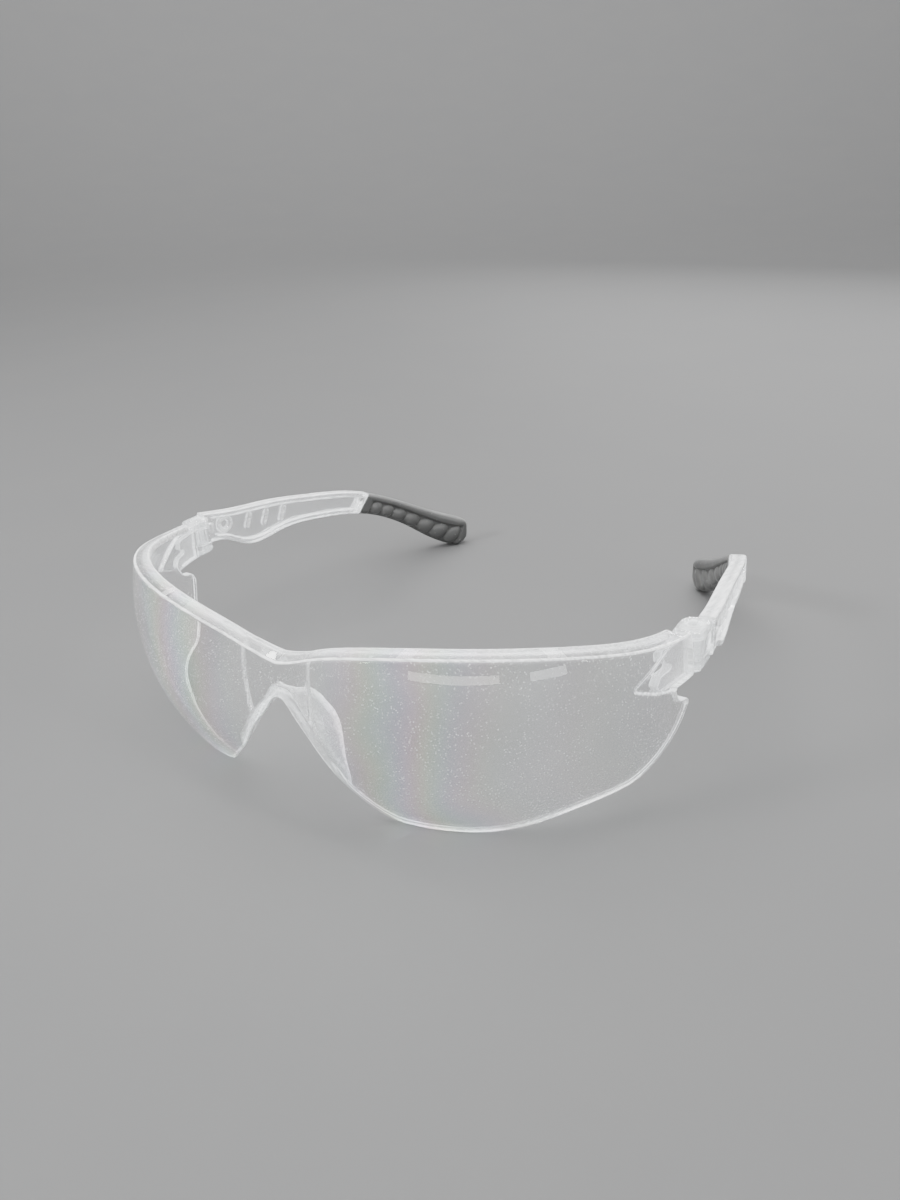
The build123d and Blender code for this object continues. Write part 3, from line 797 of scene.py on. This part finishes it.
# ---------------------------------------------------------------- floor, light and camera
CAMERA_AT = (119.07, -110.95, 125.21)
CAMERA_TURN, CAMERA_RISE, CAMERA_ROLL = radians(33.50), radians(26.07), radians(-3.51)
CAMERA_LENS = 27.28
FLOOR_FLAT, WALL_CURVE, WALL_TOP = 1.3, 1.9, 2.6
CURVE_STEPS, ROUND_STEPS = 24, 96


def build_floor():
    """A paper bowl: flat round the glasses, curving up into a wall far away on every side."""
    profile = [(FLOOR_FLAT * share, 0.0) for share in (0.25, 0.5, 1.0)]
    for i in range(1, CURVE_STEPS + 1):
        turn = pi / 2 * i / CURVE_STEPS
        profile.append((FLOOR_FLAT + WALL_CURVE * sin(turn), WALL_CURVE * (1 - cos(turn))))
    profile.append((profile[-1][0], WALL_TOP))
    verts = [(0.0, 0.0, 0.0)]
    for radius, height in profile:
        for j in range(ROUND_STEPS):
            turn = 2 * pi * j / ROUND_STEPS
            verts.append((radius * cos(turn), radius * sin(turn), height))
    faces = [(0, 1 + j, 1 + (j + 1) % ROUND_STEPS) for j in range(ROUND_STEPS)]
    for i in range(len(profile) - 1):
        inner, outer = 1 + i * ROUND_STEPS, 1 + (i + 1) * ROUND_STEPS
        for j in range(ROUND_STEPS):
            k = (j + 1) % ROUND_STEPS
            faces.append((inner + j, outer + j, outer + k, inner + k))
    me = bpy.data.meshes.new("floor")
    me.from_pydata(verts, [], faces)
    me.shade_smooth()
    me.materials.append(floor_paper("floor_paper"))
    floor = bpy.data.objects.new("floor", me)
    bpy.context.scene.collection.objects.link(floor)


def softbox(name, place, aim, size, watts, color=(1, 1, 1), mirrored_only=False):
    """A rectangular lamp at place, facing aim; all in metres. It shows only in reflections and refractions."""
    data = bpy.data.lights.new(name, "AREA")
    data.shape, data.size, data.size_y = "RECTANGLE", *size
    data.energy, data.color = watts, color
    lamp = bpy.data.objects.new(name, data)
    lamp.location = place
    lamp.rotation_euler = (Vector(place) - Vector(aim)).to_track_quat("Z", "Y").to_euler()
    lamp.visible_camera = False
    lamp.visible_transmission = not mirrored_only
    bpy.context.scene.collection.objects.link(lamp)


def studio_world():
    """Soft room light: pale overhead, darker towards the horizon."""
    world = bpy.data.worlds.new("studio")
    world.use_nodes = True
    tree = world.node_tree
    tree.nodes.clear()
    way = add_node(tree, "ShaderNodeTexCoord").outputs["Generated"]
    height = add_node(tree, "ShaderNodeSeparateXYZ", {0: way}).outputs["Z"]
    tone = blend_colors(tree, spread(tree, height, 0.0, 1.0, 0.0, 0.9), (0.07, 0.071, 0.073), (0.22, 0.22, 0.22))
    sky = add_node(tree, "ShaderNodeBackground", {"Color": tone, "Strength": 1.0}).outputs[0]
    out = add_node(tree, "ShaderNodeOutputWorld")
    tree.links.new(sky, out.inputs["Surface"])
    bpy.context.scene.world = world


def build_camera():
    data = bpy.data.cameras.new("camera")
    data.lens, data.clip_start = CAMERA_LENS, 0.005
    level = sqrt(1 - sin(CAMERA_RISE) ** 2)
    back = Vector((sin(CAMERA_TURN) * level, -cos(CAMERA_TURN) * level, sin(CAMERA_RISE)))
    right = (-back).cross(Vector((0, 0, 1))).normalized()
    up = right.cross(-back)
    across = right * cos(CAMERA_ROLL) + up * sin(CAMERA_ROLL)
    above = up * cos(CAMERA_ROLL) - right * sin(CAMERA_ROLL)
    pose = Matrix((across, above, back)).transposed().to_4x4()
    pose.translation = Vector(CAMERA_AT) * MM
    camera = bpy.data.objects.new("camera", data)
    camera.matrix_world = pose
    bpy.context.scene.collection.objects.link(camera)
    bpy.context.scene.camera = camera


build_floor()
studio_world()
MIDDLE = (0, 0.05, 0.02)
softbox("overhead", (-0.6, 0.90, 2.50), (-0.6, 0.90, 0.0), (3.60, 3.60), 80.0)
softbox("backdrop", (-1.0, 1.50, 1.80), (-1.5, 2.40, 0.5), (3.00, 1.0), 70.0)
softbox("ceiling", (-0.2, 0.40, 1.60), (-0.2, 0.40, 0.0), (1.80, 1.20), 21.0)
softbox("strip_front", (0.0, -0.20, 0.62), MIDDLE, (0.90, 0.02), 4.0)
softbox("strip_middle", (0.0, 0.12, 0.70), MIDDLE, (0.90, 0.02), 3.2)
softbox("key", (-0.42, -0.48, 0.42), MIDDLE, (0.14, 0.10), 6.0)
softbox("side", (0.75, 0.0, 0.30), MIDDLE, (0.03, 0.60), 3.8)
softbox("rim", (0.10, 0.80, 0.30), MIDDLE, (1.00, 0.03), 4.6)
FRONT_OF_LENS = (0.045, 0.01, 0.036)
softbox("window_long", (0.135, -0.31, 0.018), FRONT_OF_LENS, (0.26, 0.026), 0.16, (1.0, 0.97, 0.93), True)
softbox("window_short", (0.33, -0.155, 0.018), FRONT_OF_LENS, (0.10, 0.026), 0.06, (0.95, 0.97, 1.0), True)
build_camera()
